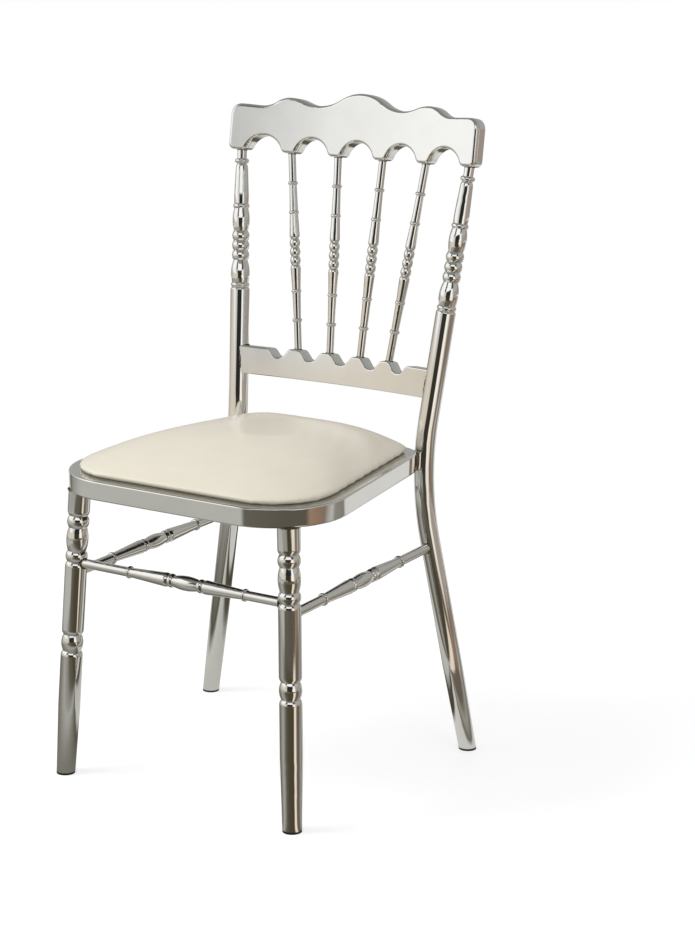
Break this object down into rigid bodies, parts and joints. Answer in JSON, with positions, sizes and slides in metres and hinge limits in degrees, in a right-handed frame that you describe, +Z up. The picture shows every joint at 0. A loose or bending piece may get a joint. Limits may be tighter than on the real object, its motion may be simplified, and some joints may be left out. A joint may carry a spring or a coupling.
{
  "type": "spindle-back banquet chair",
  "caption": "Banquet chair of turned polished steel tube with a scalloped, curved spindle back, turned stretchers and a crowned ivory seat pad screwed to a tube frame.",
  "frame": {"origin": "on the floor under the middle of the chair's bounding box", "axes": "+Z up, the front of the chair towards -Y, +X to the right of someone who looks at its front"},
  "size_m": [0.4746, 0.4919, 0.8994],
  "materials": {
    "polished_steel": "mirror polished",
    "plain_steel": "mill finish",
    "screw_steel": "zinc plated",
    "glide_plastic": "matt moulded",
    "plywood": "bare plywood",
    "foam": "open-cell foam",
    "ivory_leather": "smooth satin"
  },
  "bodies": {
    "root": {"front_leg_right": "polished_steel", "front_leg_left": "polished_steel", "rear_leg_right": "polished_steel", "rear_leg_left": "polished_steel", "crest_front_shell": "polished_steel", "crest_back_shell": "polished_steel", "rail_front_shell": "polished_steel", "rail_back_shell": "polished_steel", "spindle_1": "polished_steel", "spindle_2": "polished_steel", "spindle_3": "polished_steel", "spindle_4": "polished_steel", "front_stretcher": "polished_steel", "side_stretcher_right": "polished_steel", "side_stretcher_left": "polished_steel", "seat_frame": "polished_steel", "front_tab_right": "plain_steel", "front_tab_left": "plain_steel", "rear_tab_right": "plain_steel", "rear_tab_left": "plain_steel", "front_glide_right": "glide_plastic", "front_glide_left": "glide_plastic", "rear_glide_right": "glide_plastic", "rear_glide_left": "glide_plastic", "seat_screws": "screw_steel", "seat_board": "plywood", "seat_foam": "foam", "seat_cover": "ivory_leather"}
  },
  "joints": []
}
